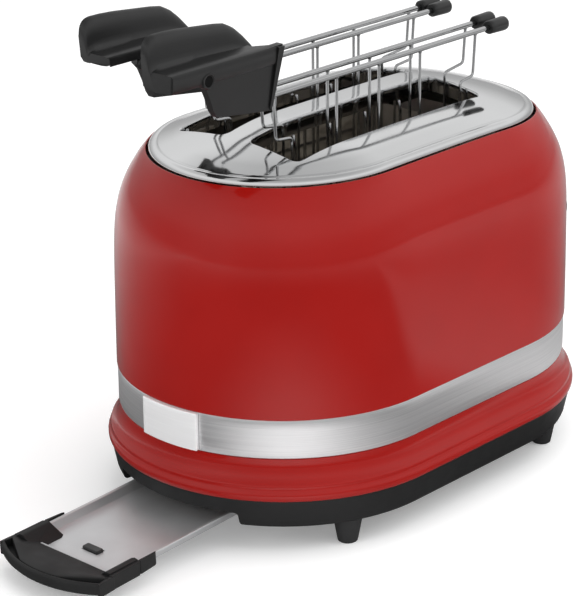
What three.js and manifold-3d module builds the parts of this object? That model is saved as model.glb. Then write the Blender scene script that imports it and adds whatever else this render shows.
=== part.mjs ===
// Two-slot pop-up toaster with a pulled-out crumb tray and two sandwich tongs standing in the slots.
// Millimetres, +Z up. The case is an oval: each level is a straight middle with round ends.
// +X is the control end, -X is the crumb tray end, -Y is the near long side.
import * as THREE from 'three';
import { mergeVertices } from 'three/addons/utils/BufferGeometryUtils.js';
import Module from 'manifold-3d';

const wasm = await Module();
wasm.setup();

// ---- driving dimensions -------------------------------------------------------------------
const HALF_STRAIGHT = 48.3;      // half length of the straight middle of every oval level
const SHIFT_X = 35.6;            // moves the model so that its bounding box is centred on X
const ROUND_STEPS = 32;          // facets round the oval
const SHEET = 1.2;               // wall of the pressed steel case
const GAP = 0.4;                 // gap between pieces that meet
const SLOT_X0 = -84;
const SLOT_X1 = 62;
const SLOT_Y_IN = 8;
const SLOT_Y_OUT = 42;
const CHAMBER_X0 = -90;
const CHAMBER_X1 = 68;
const TRAY_TILT = THREE.MathUtils.degToRad(2.5);
const TRAY_PIVOT_X = -134;
const TRAY_RIM_Z = 18.6;         // height of the tray rim at the pivot
const TRAY_DEPTH = 5.5;
const TRAY_HALF = 33;
const TONG_Y = [-24, 23];        // middle plane of each tong
const TONG_X = [-8, -3.6];       // middle of each tong's cage
const RAIL_Z = 231;
const PIN_Z = 246.5;
const KNOB_Y = -24;
const KNOB_Z = 112;
const BUTTON_Y = 23;
const LEVER_Z = 143;
const ROD_X = 84;

// ---- materials ----------------------------------------------------------------------------
const look = (color, roughness, metalness) => new THREE.MeshStandardMaterial({ color, roughness, metalness });
const redPaint = () => look(0xa81a20, 0.25, 0.1);
const blackPlastic = () => look(0x2c2c2e, 0.55, 0);
const polished = () => look(0xd0d2d4, 0.12, 1);
const brushed = () => look(0xa9abad, 0.35, 1);
const plainSteel = () => look(0x9a9da0, 0.45, 1);
const mica = () => look(0xb9a88a, 0.8, 0);
const boardGreen = () => look(0x2f5f3a, 0.6, 0);
const copper = () => look(0x9c5a33, 0.4, 0.8);

// ---- helpers ------------------------------------------------------------------------------
function signedVolume(position, index) {
  let sum = 0;
  const a = new THREE.Vector3();
  const b = new THREE.Vector3();
  const c = new THREE.Vector3();
  for (let i = 0; i < index.length; i += 3) {
    a.fromArray(position, index[i] * 3);
    b.fromArray(position, index[i + 1] * 3);
    c.fromArray(position, index[i + 2] * 3);
    sum += a.dot(b.cross(c));
  }
  return sum / 6;
}

// Welds the corners, drops slivers and turns the faces outwards.
function closed(geometry) {
  let g = geometry.clone();
  g.deleteAttribute('normal');
  g.deleteAttribute('uv');
  g = mergeVertices(g, 1e-3);
  const src = g.index.array;
  const kept = [];
  for (let i = 0; i < src.length; i += 3) {
    const same = src[i] === src[i + 1] || src[i + 1] === src[i + 2] || src[i] === src[i + 2];
    if (!same) kept.push(src[i], src[i + 1], src[i + 2]);
  }
  const position = g.attributes.position.array;
  if (signedVolume(position, kept) < 0) {
    for (let i = 0; i < kept.length; i += 3) {
      const swap = kept[i + 1];
      kept[i + 1] = kept[i + 2];
      kept[i + 2] = swap;
    }
  }
  g.setIndex(kept);
  return g;
}

function toSolid(geometry) {
  const g = closed(geometry);
  const mesh = new wasm.Mesh({
    numProp: 3,
    vertProperties: new Float32Array(g.attributes.position.array),
    triVerts: new Uint32Array(g.index.array),
  });
  return new wasm.Manifold(mesh);
}

function toGeometry(solid) {
  const mesh = solid.getMesh();
  const g = new THREE.BufferGeometry();
  g.setAttribute('position', new THREE.BufferAttribute(new Float32Array(mesh.vertProperties), 3));
  g.setIndex(new THREE.BufferAttribute(new Uint32Array(mesh.triVerts), 1));
  return g;
}

const join = (...list) => toGeometry(list.map(toSolid).reduce((a, b) => a.add(b)));
const cut = (base, ...tools) => toGeometry(tools.map(toSolid).reduce((a, b) => a.subtract(b), toSolid(base)));
const overlap = (a, b) => toGeometry(toSolid(a).intersect(toSolid(b)));

function box(x0, x1, y0, y1, z0, z1) {
  const g = new THREE.BoxGeometry(x1 - x0, y1 - y0, z1 - z0);
  return g.translate((x0 + x1) / 2, (y0 + y1) / 2, (z0 + z1) / 2);
}

// Straight round bar between two points.
function rod(from, to, radius, sides = 8, radiusTo = radius) {
  const a = new THREE.Vector3(...from);
  const b = new THREE.Vector3(...to);
  const g = new THREE.CylinderGeometry(radiusTo, radius, a.distanceTo(b), sides, 1);
  const up = new THREE.Vector3(0, 1, 0);
  g.applyQuaternion(new THREE.Quaternion().setFromUnitVectors(up, b.clone().sub(a).normalize()));
  const middle = a.add(b).multiplyScalar(0.5);
  return g.translate(middle.x, middle.y, middle.z);
}

// Round wire bent along a list of points.
function wire(points, radius, steps, sides = 6) {
  const path = new THREE.CatmullRomCurve3(points.map((p) => new THREE.Vector3(...p)), false, 'centripetal');
  const ring = new THREE.Shape();
  for (let i = 0; i < sides; i += 1) {
    const t = (i / sides) * Math.PI * 2;
    const x = radius * Math.cos(t);
    const y = radius * Math.sin(t);
    if (i === 0) ring.moveTo(x, y);
    else ring.lineTo(x, y);
  }
  ring.closePath();
  return new THREE.ExtrudeGeometry(ring, { steps, extrudePath: path, bevelEnabled: false, curveSegments: 1 });
}

// Sweeps a profile of [radius, height] points round the oval: a lathe whose two halves move apart.
function oval(profile, steps = ROUND_STEPS, halfStraight = HALF_STRAIGHT) {
  const points = profile.map((p) => new THREE.Vector2(p[0], p[1]));
  const start = Math.PI / steps;
  const g = new THREE.LatheGeometry(points, steps, start, Math.PI * 2);
  const pos = g.attributes.position;
  for (let i = 0; i <= steps; i += 1) {
    const side = Math.sin(start + (i / steps) * Math.PI * 2) > 0 ? 1 : -1;
    for (let j = 0; j < points.length; j += 1) {
      const k = i * points.length + j;
      pos.setX(k, pos.getX(k) + side * halfStraight);
    }
  }
  return g.rotateX(Math.PI / 2);
}

// Ring of material between an outer line and the same line moved inwards by the sheet thickness.
function walled(outer, thickness) {
  const inner = outer.map((p, i) => {
    const a = outer[Math.max(i - 1, 0)];
    const b = outer[Math.min(i + 1, outer.length - 1)];
    const dx = b[0] - a[0];
    const dz = b[1] - a[1];
    const len = Math.hypot(dx, dz);
    return [p[0] - (dz / len) * thickness, p[1] + (dx / len) * thickness];
  });
  return [...outer, ...inner.reverse(), outer[0]];
}

function roundedRect(x0, x1, y0, y1, r) {
  const s = new THREE.Shape();
  s.moveTo(x0 + r, y0);
  s.lineTo(x1 - r, y0);
  s.absarc(x1 - r, y0 + r, r, -Math.PI / 2, 0, false);
  s.lineTo(x1, y1 - r);
  s.absarc(x1 - r, y1 - r, r, 0, Math.PI / 2, false);
  s.lineTo(x0 + r, y1);
  s.absarc(x0 + r, y1 - r, r, Math.PI / 2, Math.PI, false);
  s.lineTo(x0, y0 + r);
  s.absarc(x0 + r, y0 + r, r, Math.PI, Math.PI * 1.5, false);
  return s;
}

const slab = (shape, z0, z1, curveSegments = 3) =>
  new THREE.ExtrudeGeometry(shape, { depth: z1 - z0, bevelEnabled: false, curveSegments }).translate(0, 0, z0);

// Outline of [y, z] points drawn out along X.
function barAlongX(outline, x0, x1) {
  const shape = new THREE.Shape(outline.map((p) => new THREE.Vector2(p[0], p[1])));
  const g = new THREE.ExtrudeGeometry(shape, { depth: x1 - x0, bevelEnabled: false });
  const turn = new THREE.Matrix4().set(0, 0, 1, x0, 1, 0, 0, 0, 0, 1, 0, 0, 0, 0, 0, 1);
  return g.applyMatrix4(turn);
}

// Outline of [x, z] points drawn out along Y.
function barAlongY(outline, y0, y1) {
  const shape = new THREE.Shape(outline.map((p) => new THREE.Vector2(p[0], p[1])));
  const g = new THREE.ExtrudeGeometry(shape, { depth: y1 - y0, bevelEnabled: false });
  return g.rotateX(Math.PI / 2).translate(0, y1, 0);
}

const group = new THREE.Group();
const toaster = new THREE.Group();
toaster.position.x = SHIFT_X;
group.add(toaster);

function add(name, geometry, material, parent = toaster) {
  const mesh = new THREE.Mesh(closed(geometry), material);
  mesh.name = name;
  parent.add(mesh);
  return mesh;
}

// ---- case ---------------------------------------------------------------------------------
const SHELL_LINE = [
  [90.2, 73.9], [90.1, 92], [89.9, 112], [89.6, 132], [89.1, 145], [88.1, 155.5], [86.5, 163.5],
  [84.2, 171], [81.2, 177.5], [78.1, 182.8], [74.9, 187.5], [71.8, 191.2],
];
const SKIRT_LINE = [
  [95.2, 31.4], [95.9, 32.8], [95.8, 34.9], [95, 36.4], [94.5, 37.6], [94.3, 39.2], [93, 40.7],
  [91.4, 43], [90.3, 46], [89.7, 49.2], [89.6, 52.1],
];
const PLATE_LINE = [
  [69.6, 185.4], [69.6, 191.5], [68.9, 193.3], [66.8, 194.8], [62, 196.4], [54, 198.5], [44, 200.7],
  [32, 203.2], [18, 205.4], [0, 206.1],
];
const leverSlot = () => box(120, 150, -3.4, 3.4, 95, 153);
const buttonHeights = [140, 124, 108];

function controlHoles(radiusExtra) {
  const holes = buttonHeights.map((z) => rod([120, BUTTON_Y, z], [150, BUTTON_Y, z], 6 + radiusExtra, 14));
  holes.push(rod([120, KNOB_Y, KNOB_Z], [150, KNOB_Y, KNOB_Z], 3.6, 12));
  return holes;
}

function outerShell() {
  return cut(oval(walled(SHELL_LINE, SHEET)), leverSlot(), ...controlHoles(0));
}

function topPlate() {
  const outer = PLATE_LINE;
  const inner = [[0, 204.9], [18, 204.2], [32, 202], [44, 199.5], [54, 197.3], [61.6, 195.2],
    [66, 193.7], [67.7, 192.6], [68.4, 191.3], [68.4, 185.4]];
  const slots = [-1, 1].map((side) => {
    const y = [side * SLOT_Y_IN, side * SLOT_Y_OUT].sort((a, b) => a - b);
    return slab(roundedRect(SLOT_X0, SLOT_X1, y[0], y[1], 4.5), 180, 220);
  });
  return cut(oval([...outer.slice().reverse(), ...inner.slice().reverse()]), ...slots);
}

const ring = (r0, r1, z0, z1) => [[r1, z0], [r1, z1], [r0, z1], [r0, z0], [r1, z0]];

function basePlate() {
  const body = oval([[0, 14.9], [91.6, 14.9], [94.6, 31], [92.6, 31], [89.9, 16.9], [0, 16.9]]);
  const mouth = box(-160, -84, -42, 42, 10, 22.5);
  const trayWell = box(-85, 64, -37, 37, 10, 22.5);
  const cordHole = rod([130, 0, 23], [150, 0, 23], 5.4, 12);
  return cut(body, mouth, trayWell, cordHole);
}

function namePlate() {
  const band = oval(ring(90, 91.3, 53.2, 73));
  return overlap(band, slab(roundedRect(-20, 20, -9.6, 9.6, 2.5), -160, -100)
    .applyMatrix4(new THREE.Matrix4().set(0, 0, 1, 0, 1, 0, 0, 0, 0, 1, 0, 63.1, 0, 0, 0, 1)));
}

function controlPanel() {
  const line = [[92.4, 81], [92.3, 112], [92, 132], [91.3, 146], [90.3, 156]];
  const band = oval([...line, [88.6, 156], [89.6, 146], [90.2, 132], [90.5, 112], [90.6, 81], line[0]]);
  return cut(overlap(band, box(110, 150, -39, 39, 70, 170)), leverSlot(), ...controlHoles(0.1));
}

add('outer_shell', outerShell(), redPaint());
add('lower_skirt', oval([...SKIRT_LINE, [88.2, 52.1], [88.3, 48.5], [90, 43], [92.9, 37.6], [93.9, 31.4],
  SKIRT_LINE[0]]), redPaint());
add('steel_band', oval(ring(88.3, 89.7, 52.5, 73.5)), brushed());
add('name_plate', namePlate(), brushed());
add('top_plate', topPlate(), polished());
add('top_gasket', oval(ring(66.5, 71.8, 181.4, 184.9)), blackPlastic());
add('base_plate', basePlate(), blackPlastic());
add('control_panel', controlPanel(), brushed());
add('cord_inlet', cut(
  join(rod([136, 0, 23], [147, 0, 23], 5, 12), rod([143.2, 0, 23], [147, 0, 23], 7, 12)),
  rod([130, 0, 23], [150, 0, 23], 3.2, 12),
), blackPlastic());

const FOOT_X = 82.4;
const FOOT_Y = 73.5;
for (const [name, sx, sy] of [['near_left', -1, -1], ['near_right', 1, -1], ['far_left', -1, 1], ['far_right', 1, 1]]) {
  const x = sx * FOOT_X;
  const y = sy * FOOT_Y;
  add(`foot_${name}`, rod([x, y, 0], [x, y, 14.9 - GAP], 5.3, 16, 7.8), blackPlastic());
}

// ---- heating chamber ----------------------------------------------------------------------
function endPlate(x0, x1, extra, tools) {
  const sheet = box(x0, x1, -56, 56, 30, 180);
  const legs = [-1, 1].map((s) => box(x0, x1, Math.min(s * 45, s * 56), Math.max(s * 45, s * 56), 17.3, 31));
  const body = join(sheet, ...legs, ...extra);
  return tools.length ? cut(body, ...tools) : body;
}

const flangeTop = box(CHAMBER_X1, 95, -28, 28, 177, 178.2);
const flangeLow = box(CHAMBER_X1, 95, -14, 14, 42.4, 43.6);
const rackSlot = (y) => box(60, 75, y - 3, y + 3, 58, 118);
add('chassis_left', endPlate(CHAMBER_X0 - 1, CHAMBER_X0, [], []), plainSteel());
add('chassis_right', endPlate(CHAMBER_X1, CHAMBER_X1 + 1, [flangeTop, flangeLow], [rackSlot(-25), rackSlot(25)]),
  plainSteel());
const reflector = (y0, y1) => box(CHAMBER_X0 + GAP, CHAMBER_X1 - GAP, y0, y1, 32, 178);
add('reflector_near', reflector(-55, -54), plainSteel());
add('reflector_far', reflector(54, 55), plainSteel());

const heater = (y) => box(-84, 62, y - 0.5, y + 0.5, 62, 174);
add('heater_near_outer', heater(-46), mica());
add('heater_near_inner', heater(-4), mica());
add('heater_far_inner', heater(4), mica());
add('heater_far_outer', heater(46), mica());

// Wire guard: five uprights tied by two rails.
function guard(y) {
  const uprights = [0, 1, 2, 3, 4].map((i) => rod([-78 + 28 * i, y, 60], [-78 + 28 * i, y, 196.5], 1, 4));
  const rails = [66, 150].map((z) => rod([-84, y, z], [58, y, z], 0.9, 4));
  return join(...uprights, ...rails);
}
add('guard_near_outer', guard(-39.5), plainSteel());
add('guard_near_inner', guard(-9.2), plainSteel());
add('guard_far_inner', guard(9.2), plainSteel());
add('guard_far_outer', guard(39.5), plainSteel());

// ---- lift mechanism at the control end ------------------------------------------------------
function rack(y) {
  const spine = box(-82, 76.6, y - 1.5, y + 1.5, 104, 110);
  const fingers = [0, 1, 2, 3, 4].map((i) => box(-72 + 30 * i, -69 + 30 * i, y - 8, y + 8, 106, 112));
  return join(spine, ...fingers);
}

function carriage() {
  const beam = box(77, 95, -32, 32, 103, 111);
  const post = box(89, 95, -7, 7, 103, LEVER_Z + 7);
  return cut(join(beam, post), rod([ROD_X, 0, 90], [ROD_X, 0, 120], 3.3, 12));
}

function coil(x, y, z0, z1, radius, turns) {
  const points = [];
  const n = turns * 5;
  for (let i = 0; i <= n; i += 1) {
    const t = (i / 5) * Math.PI * 2;
    points.push([x + radius * Math.cos(t), y + radius * Math.sin(t), z0 + ((z1 - z0) * i) / n]);
  }
  return wire(points, 0.6, n, 4);
}

add('guide_rod', rod([ROD_X, 0, 60.4], [ROD_X, 0, 176.6], 3, 12), polished());
add('carriage', carriage(), plainSteel());
add('bread_rack_near', rack(-25), plainSteel());
add('bread_rack_far', rack(25), plainSteel());
add('lever_arm', box(95 + GAP, 150, -2, 2, LEVER_Z - 5, LEVER_Z + 5), plainSteel());
add('lever_knob', cut(
  slab(roundedRect(-9.5, 9.5, -8, 8, 4), 144.4, 162)
    .applyMatrix4(new THREE.Matrix4().set(0, 0, 1, 0, 1, 0, 0, 0, 0, 1, 0, LEVER_Z, 0, 0, 0, 1)),
  box(140, 150.4, -2.4, 2.4, LEVER_Z - 5.4, LEVER_Z + 5.4),
), blackPlastic());
add('lift_spring', coil(86, -20, 112.1, 176, 3, 6), plainSteel());
add('electromagnet', join(box(74, 94, -12, 12, 44, 54), box(78, 90, -8, 8, 53, 60)), copper());

// ---- controls -------------------------------------------------------------------------------
function controlFrame() {
  const face = box(104, 105, -47, 47, 84, 158);
  const wings = [-1, 1].map((s) => box(69.4, 105, Math.min(s * 46, s * 47), Math.max(s * 46, s * 47), 84, 158));
  return cut(join(face, ...wings), box(100, 110, -5, 5, 92, 154));
}

function browningKnob() {
  const body = rod([142, KNOB_Y, KNOB_Z], [154, KNOB_Y, KNOB_Z], 12, 20, 10.5);
  const pointer = box(153, 157, KNOB_Y - 1.6, KNOB_Y + 1.6, KNOB_Z - 9, KNOB_Z + 9);
  const shaft = rod([115, KNOB_Y, KNOB_Z], [143, KNOB_Y, KNOB_Z], 3, 12);
  return join(body, pointer, shaft);
}

add('control_frame', controlFrame(), plainSteel());
add('control_board', box(106, 107.6, 10, 44, 94, 150), boardGreen());
add('browning_control', box(106, 114, -34, -14, 102, 122), blackPlastic());
add('browning_knob', browningKnob(), blackPlastic());
const buttonNames = ['cancel_button', 'defrost_button', 'reheat_button'];
buttonNames.forEach((name, i) => {
  const z = buttonHeights[i];
  const cap = rod([130, BUTTON_Y, z], [142, BUTTON_Y, z], 5.5, 14);
  const stem = rod([112, BUTTON_Y, z], [131, BUTTON_Y, z], 2, 8);
  add(name, join(cap, stem), blackPlastic());
});

// ---- crumb tray -----------------------------------------------------------------------------
const trayGroup = new THREE.Group();
trayGroup.position.set(TRAY_PIVOT_X, 0, TRAY_RIM_Z);
trayGroup.rotation.y = -TRAY_TILT;
toaster.add(trayGroup);
const TRAY_FRONT = -208 - TRAY_PIVOT_X;
const TRAY_BACK = -31 - TRAY_PIVOT_X;
const HANDLE_ARC_R = 66;
const HANDLE_ARC_X = -167 - TRAY_PIVOT_X;
const HANDLE_HALF = 36.5;
const HANDLE_BACK = -213 - TRAY_PIVOT_X;   // the crescent ends here and the wings begin

function crumbTray() {
  const outside = box(TRAY_FRONT, TRAY_BACK, -TRAY_HALF, TRAY_HALF, -TRAY_DEPTH, 0);
  const inside = box(TRAY_FRONT + 0.8, TRAY_BACK - 0.8, -TRAY_HALF + 0.8, TRAY_HALF - 0.8, -TRAY_DEPTH + 0.8, 5);
  const notch = box(TRAY_FRONT + 12.4, TRAY_FRONT + 18.2, -5.8, 5.8, -10, 5);
  return cut(outside, inside, notch);
}

// Crescent front with two wings that reach back along the tray's sides.
function trayHandle() {
  const s = new THREE.Shape();
  const half = Math.asin(HANDLE_HALF / HANDLE_ARC_R);
  s.absarc(HANDLE_ARC_X, 0, HANDLE_ARC_R, Math.PI - half, Math.PI + half, false);
  s.lineTo(HANDLE_BACK, -HANDLE_HALF + 1);
  s.lineTo(TRAY_FRONT + 26, -HANDLE_HALF + 1.5);
  s.lineTo(TRAY_FRONT + 28, -TRAY_HALF - GAP);
  s.lineTo(TRAY_FRONT - GAP, -TRAY_HALF - GAP);
  s.lineTo(TRAY_FRONT - GAP, TRAY_HALF + GAP);
  s.lineTo(TRAY_FRONT + 28, TRAY_HALF + GAP);
  s.lineTo(TRAY_FRONT + 26, HANDLE_HALF - 1.5);
  s.lineTo(HANDLE_BACK, HANDLE_HALF - 1);
  s.closePath();
  const body = slab(s, -TRAY_DEPTH - 1, 0.7, 12);
  const groove = new THREE.Shape();
  const g = half * 0.82;
  groove.absarc(HANDLE_ARC_X, 0, HANDLE_ARC_R - 4, Math.PI - g, Math.PI + g, false);
  groove.absarc(HANDLE_ARC_X, 0, HANDLE_ARC_R - 8, Math.PI + g, Math.PI - g, true);
  return cut(body, slab(groove, -0.9, 3, 12));
}

function trayRail(side) {
  const y = [side * 33.5, side * 34.6].sort((a, b) => a - b);
  const lip = [side * 30, side * 34.6].sort((a, b) => a - b);
  const x0 = -83 - TRAY_PIVOT_X;
  const x1 = 60 - TRAY_PIVOT_X;
  return join(
    box(x0, x1, y[0], y[1], -TRAY_DEPTH - 1.6, -1),
    box(x0, x1, lip[0], lip[1], -TRAY_DEPTH - 1.6, -TRAY_DEPTH - GAP),
  );
}
add('crumb_tray', crumbTray(), plainSteel(), trayGroup);
add('tray_handle', trayHandle(), blackPlastic(), trayGroup);
add('tray_rail_near', trayRail(-1), plainSteel(), trayGroup);
add('tray_rail_far', trayRail(1), plainSteel(), trayGroup);

// ---- sandwich tongs ---------------------------------------------------------------------------
const RAIL_R = 1.5;
const WIRE_R = 0.8;
const HALF_GAP = 6;              // rail to the tong's middle plane
const RAIL_END = [-86, 90];      // rail ends from the cage's middle
const CAGE_BOTTOM = 119;
const GRIP_X = [-164, -93];      // grip ends from the cage's middle
const UPRIGHTS = [-33, 0, 33];

// One half of the cage: top rail, three uprights, two stepped end wires and a bottom rail.
function cage(s) {
  const y = s * HALF_GAP;
  const rail = rod([RAIL_END[0], y, RAIL_Z], [RAIL_END[1], y, RAIL_Z], RAIL_R, 8);
  const low = rod([-65, y, CAGE_BOTTOM], [65, y, CAGE_BOTTOM], WIRE_R, 6);
  const mid = UPRIGHTS.map((x) => rod([x, y, CAGE_BOTTOM], [x, y, RAIL_Z], WIRE_R, 6));
  const ends = [-1, 1].map((e) => join(
    rod([e * 77.5, y, 209.8], [e * 77.5, y, RAIL_Z], WIRE_R, 6),
    wire([[e * 77.5, y, 211], [e * 77.5, y, 210.2], [e * 76.8, y, 209], [e * 65.5, y, 206.8], [e * 64.5, y, 205.8],
      [e * 64.5, y, 204.8]], WIRE_R, 10),
    rod([e * 64.5, y, CAGE_BOTTOM], [e * 64.5, y, 205.4], WIRE_R, 6),
  ));
  return join(rail, low, ...mid, ...ends);
}

// Half section [y, z] of the grip on each side of the tong, and its side panel [x, z] that holds the rail.
const FRONT_RIDGE = [[1.7, 273.4], [4.6, 271.6], [6.4, 267.2], [7.6, 262.2], [16.4, 260.6], [19, 259.8],
  [19, 252.4], [0.5, 252.4]];
const REAR_RIDGE = [[1.7, 273.4], [4.6, 271.6], [6.4, 267.2], [6.6, 256], [5, 252.4], [0.5, 252.4]];
const FRONT_PANEL = [[-136, 252], [-134, 246], [-124, 232], [-87, 225.6], [-85, 259.6], [-136, 259.6]];
const REAR_PANEL = [[-108, 253], [-106, 230], [-87, 226], [-86, 256], [-108, 256]];

// One half of the grip: a ridge, a side panel and hinge knuckles on the pin.
function grip(s, ridgeLine, panelLine, depth, knuckles) {
  const ridge = barAlongX(ridgeLine.map((p) => [s * p[0], p[1]]), GRIP_X[0], GRIP_X[1]);
  const panelY = [s * depth[0], s * depth[1]].sort((a, b) => a - b);
  const panel = barAlongY(panelLine, panelY[0], panelY[1]);
  const bossY = [s * 3.2, s * (depth[0] + 0.5)].sort((a, b) => a - b);
  const boss = box(-96, -86.5, bossY[0], bossY[1], 228, 234.6);
  const parts = [ridge, panel, boss];
  const holes = [rod([-87.4, s * HALF_GAP, RAIL_Z], [-80, s * HALF_GAP, RAIL_Z], RAIL_R + 0.35, 8)];
  if (s < 0) holes.push(rod([-129, -8, 250.5], [-129, -16, 250.5], 2.6, 10));
  for (const x of knuckles) {
    const web = [s * 0.6, s * 4].sort((a, b) => a - b);
    parts.push(rod([x, 0, PIN_Z], [x + 9, 0, PIN_Z], 4.4, 12));
    parts.push(box(x, x + 9, web[0], web[1], PIN_Z, 253));
    holes.push(rod([x - 1, 0, PIN_Z], [x + 10, 0, PIN_Z], 2.35, 10));
  }
  return cut(join(...parts), ...holes);
}

function endCap(s) {
  const y = s * HALF_GAP;
  const body = rod([88, y, RAIL_Z], [105.5, y, RAIL_Z], 3.6, 10, 4);
  return cut(body, rod([84, y, RAIL_Z], [90.4, y, RAIL_Z], RAIL_R + 0.35, 8));
}

['near', 'far'].forEach((which, i) => {
  const tong = new THREE.Group();
  tong.position.set(TONG_X[i], TONG_Y[i], 0);
  toaster.add(tong);
  const name = (piece) => `tong_${which}_${piece}`;
  add(name('cage_front'), cage(-1), polished(), tong);
  add(name('cage_rear'), cage(1), polished(), tong);
  add(name('grip_front'), grip(-1, FRONT_RIDGE, FRONT_PANEL, [10, 14], [-124, -104]), blackPlastic(), tong);
  add(name('grip_rear'), grip(1, REAR_RIDGE, REAR_PANEL, [4.9, 8.6], [-114.5]), blackPlastic(), tong);
  add(name('cap_front'), endCap(-1), blackPlastic(), tong);
  add(name('cap_rear'), endCap(1), blackPlastic(), tong);
  add(name('hinge_pin'), rod([-125.5, 0, PIN_Z], [-93.5, 0, PIN_Z], 2, 10), plainSteel(), tong);
});

export default group;
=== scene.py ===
"""Pop-up toaster with sandwich tongs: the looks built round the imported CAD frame."""

import math

import bmesh
import bpy
from mathutils import Matrix, Vector


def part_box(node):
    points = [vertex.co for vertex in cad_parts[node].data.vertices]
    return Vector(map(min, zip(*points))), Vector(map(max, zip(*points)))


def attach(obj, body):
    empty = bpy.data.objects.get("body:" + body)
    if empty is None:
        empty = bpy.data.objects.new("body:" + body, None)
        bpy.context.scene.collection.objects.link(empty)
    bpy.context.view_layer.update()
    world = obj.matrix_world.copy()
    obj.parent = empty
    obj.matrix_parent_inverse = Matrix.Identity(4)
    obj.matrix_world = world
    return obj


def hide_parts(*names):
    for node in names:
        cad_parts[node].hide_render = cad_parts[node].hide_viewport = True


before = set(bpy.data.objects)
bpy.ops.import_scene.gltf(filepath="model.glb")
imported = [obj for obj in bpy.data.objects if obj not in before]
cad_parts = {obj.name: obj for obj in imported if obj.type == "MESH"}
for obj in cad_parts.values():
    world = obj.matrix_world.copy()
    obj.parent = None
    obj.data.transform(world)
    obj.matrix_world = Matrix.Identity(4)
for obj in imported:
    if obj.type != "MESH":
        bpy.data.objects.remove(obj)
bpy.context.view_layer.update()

MM = 0.001
band_lo, band_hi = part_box("steel_band")
CASE_X = (band_lo.x + band_hi.x) / 2 / MM  # the oval's middle in the row frame, in mm
HALF_STRAIGHT = 48.3  # half length of the straight middle of the oval
TONG_Y = {"near": -24.0, "far": 23.0}  # middle plane of each tong
TONG_X = {"near": -8.0, "far": -3.6}  # middle of each tong's cage
RAIL_Z = 231.0  # height of the tongs' rails
TRAY_PIVOT = (-134.0, 0.0, 18.6)  # origin of the tray's own frame, at the mouth of the base
TRAY_TILT = math.radians(2.5)  # the tray droops by this much


def at(x, y, z):
    """A point given in mm from the middle of the case, as metres in the row frame."""
    return Vector(((x + CASE_X) * MM, y * MM, z * MM))


def show(obj):
    """Puts an object in the scene."""
    bpy.context.scene.collection.objects.link(obj)
    return obj


# ---- materials ----
def shader_node(tree, kind, **values):
    """A shader node. Names with a capital are its input sockets, the others its settings."""
    node = tree.nodes.new("ShaderNode" + kind)
    for key, value in values.items():
        if key[0].isupper():
            node.inputs[key.replace("_", " ")].default_value = value
        else:
            setattr(node, key, value)
    return node


def color_ramp(tree, value, stops):
    """A ramp over (position, colour) stops, where a single number is a grey."""
    node = tree.nodes.new("ShaderNodeValToRGB")
    elements = node.color_ramp.elements
    while len(elements) < len(stops):
        elements.new(1.0)
    for stop, (where, color) in zip(elements, stops):
        stop.position = where
        stop.color = (*color, 1) if isinstance(color, tuple) else (color, color, color, 1)
    tree.links.new(value, node.inputs["Fac"])
    return node.outputs["Color"]


class Look:
    """A Principled material with short calls for its texture nodes."""

    def __init__(self, name, color, rough, metal=0.0):
        self.mat = bpy.data.materials.new(name)
        self.mat.use_nodes = True
        self.tree = self.mat.node_tree
        self.links = self.tree.links
        self.bsdf = self.tree.nodes["Principled BSDF"]
        self.set(Base_Color=(*color, 1), Roughness=rough, Metallic=metal)
        self.coords = shader_node(self.tree, "TexCoord")

    def set(self, **values):
        for key, value in values.items():
            self.bsdf.inputs[key.replace("_", " ")].default_value = value
        return self

    def texture(self, kind, stretch=(1, 1, 1), **values):
        mapping = shader_node(self.tree, "Mapping", Scale=stretch)
        self.links.new(self.coords.outputs["Object"], mapping.inputs["Vector"])
        texture = shader_node(self.tree, kind, **values)
        self.links.new(mapping.outputs["Vector"], texture.inputs["Vector"])
        return texture

    def noise(self, scale, stretch=(1, 1, 1), detail=3.0, rough=0.5):
        return self.texture("TexNoise", stretch, Scale=scale, Detail=detail, Roughness=rough).outputs["Fac"]

    def cells(self, scale):
        return self.texture("TexVoronoi", Scale=scale).outputs["Color"]

    def ranged(self, value, low, high, frm, to):
        """Maps the stretch of a texture from frm to to onto low to high."""
        node = shader_node(self.tree, "MapRange", From_Min=frm, From_Max=to, To_Min=low, To_Max=high)
        self.links.new(value, node.inputs["Value"])
        return node.outputs["Result"]

    def rough(self, value, low, high, frm=0.3, to=0.7):
        self.links.new(self.ranged(value, low, high, frm, to), self.bsdf.inputs["Roughness"])
        return self

    def tint(self, value, dark, light, frm=0.3, to=0.7):
        ramp = color_ramp(self.tree, value, ((frm, dark), (to, light)))
        self.links.new(ramp, self.bsdf.inputs["Base Color"])
        return self

    def bump(self, *layers):
        """Adds bump layers of (value, strength, depth in mm), each on top of the last."""
        below = None
        for value, strength, depth in layers:
            node = shader_node(self.tree, "Bump", Strength=strength, Distance=depth * MM)
            self.links.new(value, node.inputs["Height"])
            if below is not None:
                self.links.new(below, node.inputs["Normal"])
            below = node.outputs["Normal"]
        self.links.new(below, self.bsdf.inputs["Normal"])
        return self

    def brushed_round_z(self, amount):
        """Streaks the highlights the way a brush run round the case would."""
        tangent = shader_node(self.tree, "Tangent", direction_type="RADIAL", axis="Z")
        self.links.new(tangent.outputs["Tangent"], self.bsdf.inputs["Tangent"])
        return self.set(Anisotropic=amount)


def red_paint():
    look = Look("red_paint", (0.285, 0.005, 0.004), 0.34)
    look.set(Coat_Weight=0.78, Coat_Roughness=0.08, Coat_IOR=1.42, Specular_IOR_Level=0.08)
    look.tint(look.noise(22, detail=2), (0.280, 0.0040, 0.0022), (0.300, 0.0050, 0.0030))
    look.rough(look.noise(60), 0.30, 0.36)
    return look.bump((look.noise(60, detail=0), 0.02, 0.05)).mat


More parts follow.
